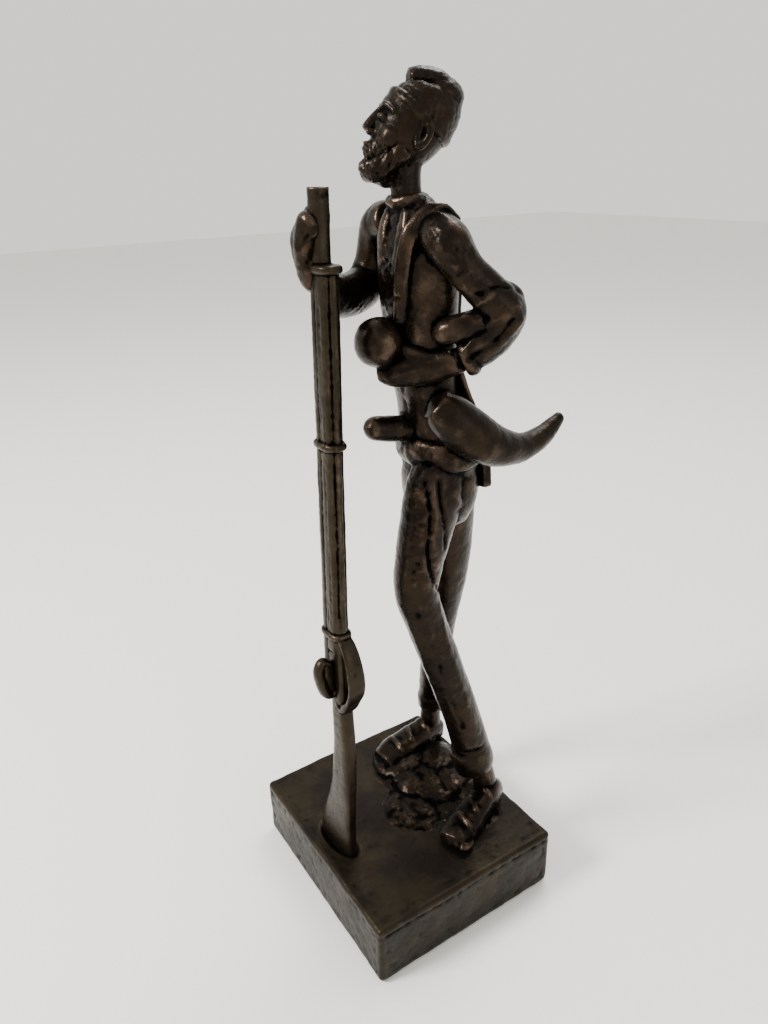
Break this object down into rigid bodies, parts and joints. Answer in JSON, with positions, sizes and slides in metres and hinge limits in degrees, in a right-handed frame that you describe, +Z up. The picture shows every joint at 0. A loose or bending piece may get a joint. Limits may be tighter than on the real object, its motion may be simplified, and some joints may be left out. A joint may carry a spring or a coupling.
{
  "type": "cast bronze statuette",
  "caption": "Cast bronze statuette of a bearded man in a cap, vest and rolled trousers who leans on a long musket, with a powder horn at the hip, on a block plinth.",
  "frame": {"origin": "under the middle of the plinth, on its underside", "axes": "+Z up, the man faces -Y and his left side is +X"},
  "size_m": [0.092, 0.0985, 0.2978],
  "materials": {
    "plinth": "satin dark brown patina, worn lighter on the edges",
    "figure": "glossy dark brown patina, black in the hollows, polished on the high places",
    "musket": "satin golden brown patina with black grooves"
  },
  "bodies": {
    "root": {"plinth": "plinth", "figure": "figure", "musket": "musket"}
  },
  "joints": []
}
